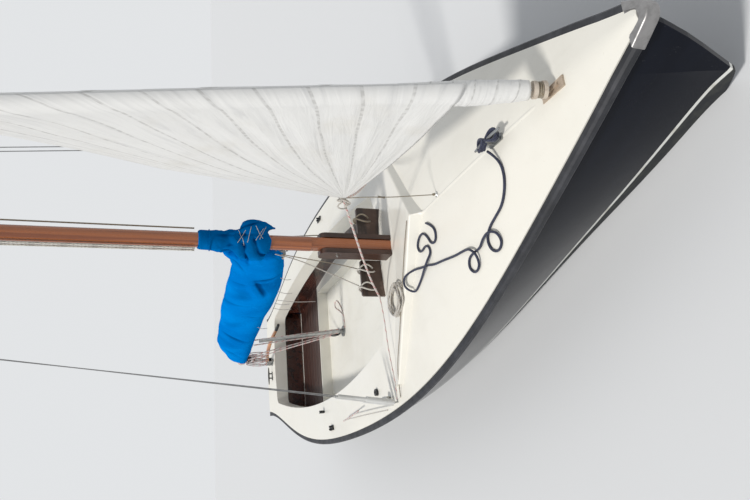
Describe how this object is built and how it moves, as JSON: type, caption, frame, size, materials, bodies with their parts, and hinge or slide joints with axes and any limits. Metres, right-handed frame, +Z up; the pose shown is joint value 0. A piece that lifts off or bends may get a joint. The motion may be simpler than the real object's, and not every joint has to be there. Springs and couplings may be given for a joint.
{
  "type": "open keelboat",
  "caption": "Open day-sailing keelboat with a fin keel, hinged boom under its sail cover, part-rolled jib, deck-stepped mast and a tiller-steered rudder.",
  "frame": {"origin": "on the centreline at the waterline, amidships", "axes": "+X to the bow, +Y to port, +Z up along the mast"},
  "size_m": [6.6157, 2.1562, 9.18],
  "materials": {
    "hull_gelcoat": "dark navy gelcoat, white boot stripe, grey antifouling below it",
    "iron_keel": "grey antifouling paint on cast iron",
    "deck_gelcoat": "cream-white moulded gelcoat, satin",
    "liner_gelcoat": "cream moulded liner",
    "dark_wood": "dark brown varnished boards",
    "rail_rubber": "dark grey rubber fender rail",
    "polished_metal": "polished stainless steel",
    "antifouled": "grey antifouling",
    "tiller_wood": "orange-brown varnished ash",
    "black_plastic": "black moulded plastic",
    "mast_wood": "reddish varnished spruce",
    "cheek_wood": "dark brown hardwood",
    "alloy": "satin alloy",
    "white_plastic": "white plastic tube",
    "wire": "stainless wire rope",
    "sailcloth": "off-white woven sailcloth",
    "cover_cloth": "azure acrylic canvas",
    "navy_rope": "navy braided mooring rope",
    "sheet_rope": "white sheet with pink flecks"
  },
  "bodies": {
    "root": {"hull_shell": "hull_gelcoat", "keel_fin": "iron_keel", "deck_moulding": "deck_gelcoat", "cockpit_liner": "liner_gelcoat", "backrest_boards": "dark_wood", "aft_bulkhead": "dark_wood", "fore_bulkhead": "dark_wood", "rub_rail": "rail_rubber", "bow_cap": "polished_metal", "rudder_trunk": "polished_metal", "mast": "mast_wood", "mast_cheeks": "cheek_wood", "cheek_bolt": "polished_metal", "mast_track": "alloy", "masthead": "alloy", "pin_rails": "cheek_wood", "rail_cleats": "alloy", "mooring_cleat": "alloy", "furling_drum": "cheek_wood", "forestay": "wire", "stem_plate": "polished_metal", "jib_roll": "sailcloth", "jib_sail": "sailcloth", "chainplates": "polished_metal", "shrouds": "wire", "shroud_tubes": "white_plastic", "jib_blocks": "black_plastic", "lead_blocks": "black_plastic", "cam_cleats": "black_plastic", "bullseyes": "black_plastic", "gooseneck_bracket": "polished_metal", "mainsheet_base": "polished_metal", "boom_prop": "alloy", "swivel_block": "black_plastic", "mast_collar": "cover_cloth", "stern_cleat": "black_plastic", "mooring_rope": "navy_rope", "sheet_coil": "sheet_rope", "mainsheet_tail": "sheet_rope"},
    "boom": {"boom": "mast_wood", "gooseneck_fork": "polished_metal", "boom_end_block": "black_plastic", "sail_cover": "cover_cloth"},
    "rudder": {"rudder_stock": "polished_metal", "rudder_blade": "antifouled", "rudder_head": "polished_metal", "tiller": "tiller_wood", "tiller_grip": "black_plastic"}
  },
  "joints": [
    {"name": "boom_swing", "type": "hinge", "parent": "root", "child": "boom", "pos_m": [0.762, 0, 1.45], "axis": [0, 0, 1], "range_deg": [-62.3, 57.7]},
    {"name": "rudder_turn", "type": "hinge", "parent": "root", "child": "rudder", "pos_m": [-3, 0, 0.4], "axis": [0, 0, 1], "range_deg": [-48.7, 21.3]}
  ]
}
